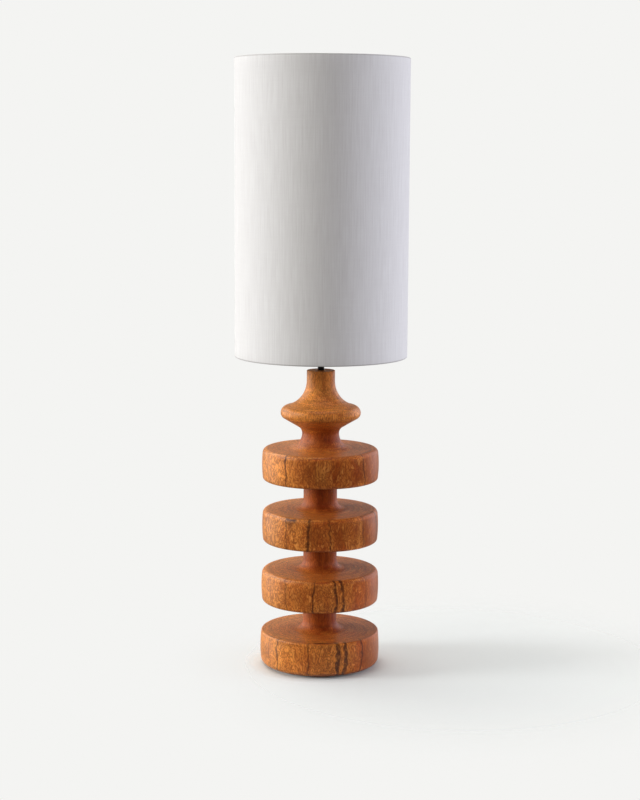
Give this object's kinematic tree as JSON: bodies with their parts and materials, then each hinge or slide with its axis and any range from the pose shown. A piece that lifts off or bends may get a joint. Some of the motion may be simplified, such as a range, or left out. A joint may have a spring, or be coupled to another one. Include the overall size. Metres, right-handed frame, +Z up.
{
  "type": "column table lamp",
  "caption": "Turned hardwood column table lamp with stacked discs, a waisted finial, a switched screw lampholder and a tall white drum shade.",
  "frame": {"origin": "on the lamp's axis at the level of the table, at the centre of the underside of the foot felt", "axes": "+Z up along the column and shade axis, +Y to the back where the cord enters, +X to the right with the switch knob"},
  "size_m": [0.254, 0.2538, 0.8974],
  "materials": {
    "oiled_hardwood": "turned hardwood under a satin oil varnish",
    "felt": "pressed felt",
    "zinc_steel": "zinc plated steel",
    "black_steel": "black oxide steel",
    "black_nylon": "moulded nylon",
    "black_phenolic": "moulded phenolic",
    "white_nylon": "moulded nylon",
    "brass": "pressed brass",
    "porcelain": "glazed porcelain",
    "black_glass": "vitrified insulator",
    "nickel": "nickel plated shell",
    "opal_glass": "opal glass",
    "phosphor": "phosphor coated strip",
    "white_steel": "white powder coated steel",
    "white_pvc": "translucent white lining film",
    "white_linen": "plain woven white linen"
  },
  "bodies": {
    "stand": {"column": "oiled_hardwood", "foot_felt": "felt", "foot_washer": "zinc_steel", "lock_washer": "zinc_steel", "foot_nut": "zinc_steel", "lamp_tube": "black_steel", "cord_bushing": "black_nylon", "holder_cap": "black_phenolic", "cap_lock_screw": "zinc_steel", "switch_contact": "brass", "terminal_screws": "brass", "holder_insert": "porcelain", "centre_contact": "brass", "screw_shell": "brass", "holder_skirt": "black_phenolic"},
    "switch": {"switch_rotor": "white_nylon", "switch_spindle": "zinc_steel", "switch_knob": "black_phenolic"},
    "bulb_travel": {"bulb_contact": "brass"},
    "bulb": {"bulb_insulator": "black_glass", "bulb_cap": "nickel", "bulb_glass": "opal_glass", "led_stem": "white_nylon", "led_filaments": "phosphor"},
    "shade_carrier": {"fitter_ring": "white_steel"},
    "clamp": {"clamp_ring": "black_phenolic"},
    "shade": {"fitter_arm_1": "white_steel", "fitter_arm_2": "white_steel", "fitter_arm_3": "white_steel", "shade_bottom_ring": "white_steel", "shade_top_ring": "white_steel", "shade_liner": "white_pvc", "shade_fabric": "white_linen"}
  },
  "joints": [
    {"name": "switch_turn", "type": "hinge", "parent": "stand", "child": "switch", "pos_m": [0, 0, 0.4842], "axis": [1, 0, 0], "continuous": true},
    {"name": "bulb_lift", "type": "slide", "parent": "stand", "child": "bulb_travel", "axis": [0, 0, 1], "range_m": [0, 0.0183]},
    {"name": "bulb_turn", "type": "hinge", "parent": "bulb_travel", "child": "bulb", "pos_m": [0, 0, 0.52], "axis": [0, 0, 1], "range_deg": [0, 1800]},
    {"name": "shade_lift", "type": "slide", "parent": "stand", "child": "shade_carrier", "axis": [0, 0, 1], "range_m": [0, 0.2]},
    {"name": "clamp_turn", "type": "hinge", "parent": "shade_carrier", "child": "clamp", "pos_m": [0, 0, 0.515], "axis": [0, 0, 1], "continuous": true},
    {"name": "shade_turn", "type": "hinge", "parent": "shade_carrier", "child": "shade", "pos_m": [0, 0, 0.5], "axis": [0, 0, 1], "continuous": true}
  ],
  "couplings": [
    {"joint": "bulb_lift", "follows": "bulb_turn", "m_per_rad": 0.00057757}
  ]
}
